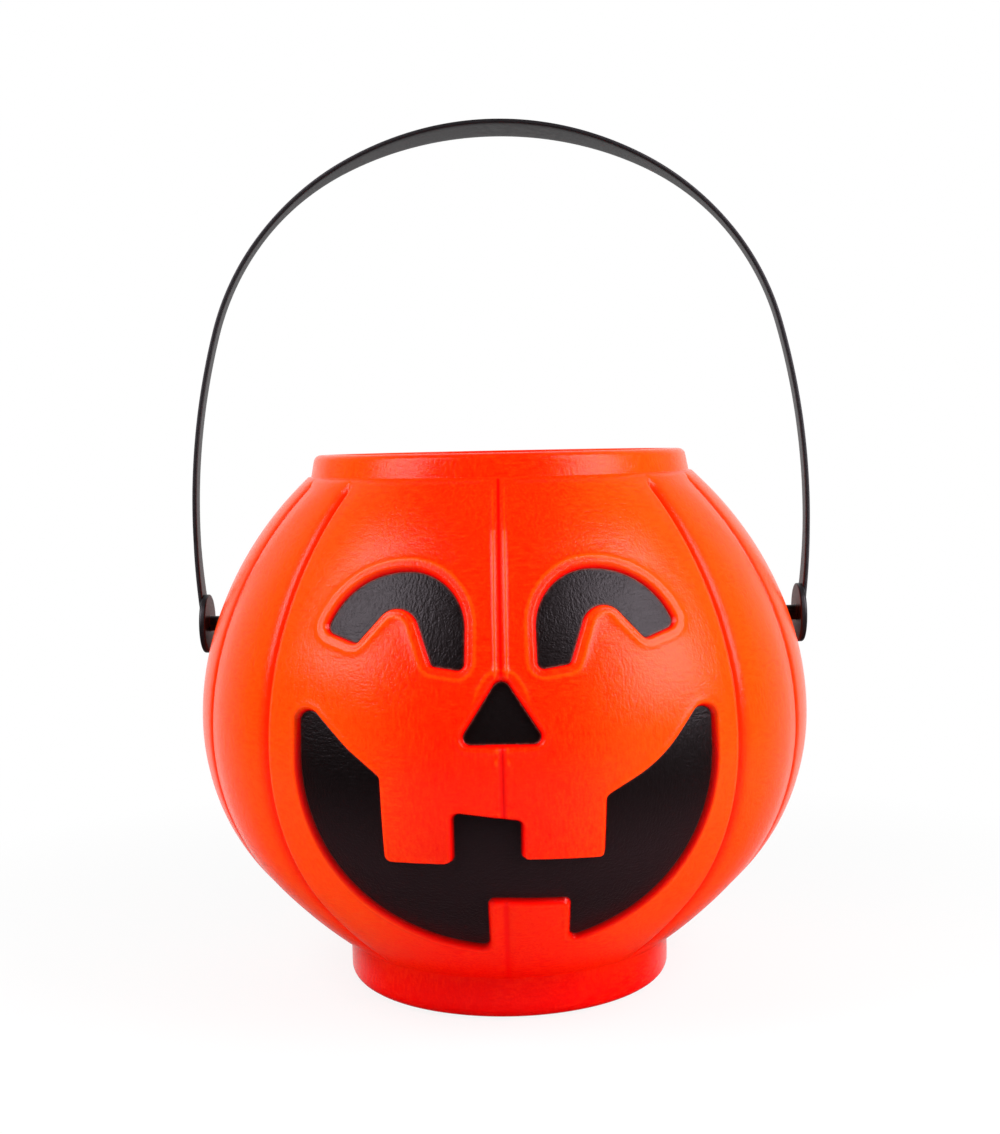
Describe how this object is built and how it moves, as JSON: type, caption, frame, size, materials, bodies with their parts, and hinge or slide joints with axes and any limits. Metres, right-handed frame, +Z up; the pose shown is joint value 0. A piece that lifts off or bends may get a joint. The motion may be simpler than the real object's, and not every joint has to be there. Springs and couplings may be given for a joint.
{
  "type": "candy pail",
  "caption": "Round lobed pumpkin candy pail with a sunken painted jack-o'-lantern face, a collared mouth, a hollow foot and a strap handle that swings over the rim on pegs.",
  "frame": {"origin": "middle of the ring that the pail stands on, at the level of the table", "axes": "+Z up, the face looks along -Y, +X is the right side of the pail as seen from the front"},
  "size_m": [0.2042, 0.1991, 0.2824],
  "materials": {
    "orange_shell": "satin, with a fine mould grain",
    "black_strap": "satin",
    "face_paint": "matt sprayed paint"
  },
  "bodies": {
    "pail": {"pail_shell": "orange_shell", "left_eye_paint": "face_paint", "right_eye_paint": "face_paint", "nose_paint": "face_paint", "mouth_paint": "face_paint"},
    "strap": {"handle": "black_strap"}
  },
  "joints": [
    {"name": "handle_swing", "type": "hinge", "parent": "pail", "child": "strap", "pos_m": [0, 0, 0.118], "axis": [1, 0, 0], "range_deg": [-126, 134]}
  ]
}
